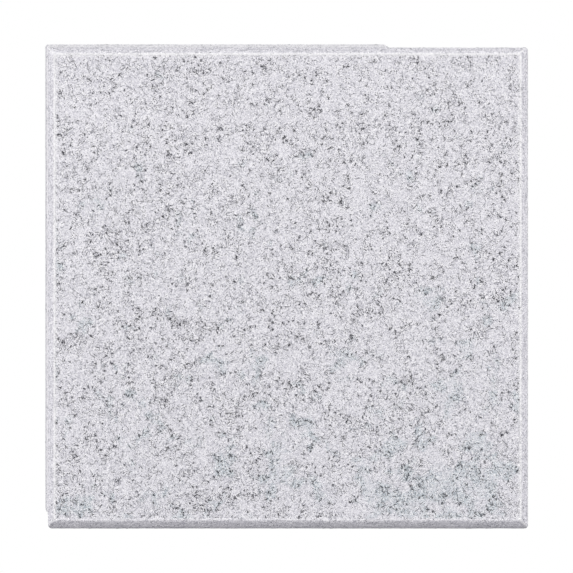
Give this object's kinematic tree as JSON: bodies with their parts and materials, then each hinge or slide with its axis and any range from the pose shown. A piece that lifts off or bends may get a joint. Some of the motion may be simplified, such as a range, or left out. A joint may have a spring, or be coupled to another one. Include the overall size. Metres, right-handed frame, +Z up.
{
  "type": "acoustic felt wall panel",
  "caption": "Square sound-absorbing wall panel of pressed polyester felt, with bevelled edges round a flat face and a flat back to fix to a wall.",
  "frame": {"origin": "middle of the flat back, in the plane that lies on the wall", "axes": "+Z up as the panel hangs, +X to the right seen from the front, and +Y through the back into the wall, so the face looks along -Y"},
  "size_m": [0.3, 0.0093, 0.301],
  "materials": {
    "felt": "matt melange felt, pale silver grey with dark fibre flecks"
  },
  "bodies": {
    "root": {"felt_panel": "felt"}
  },
  "joints": []
}
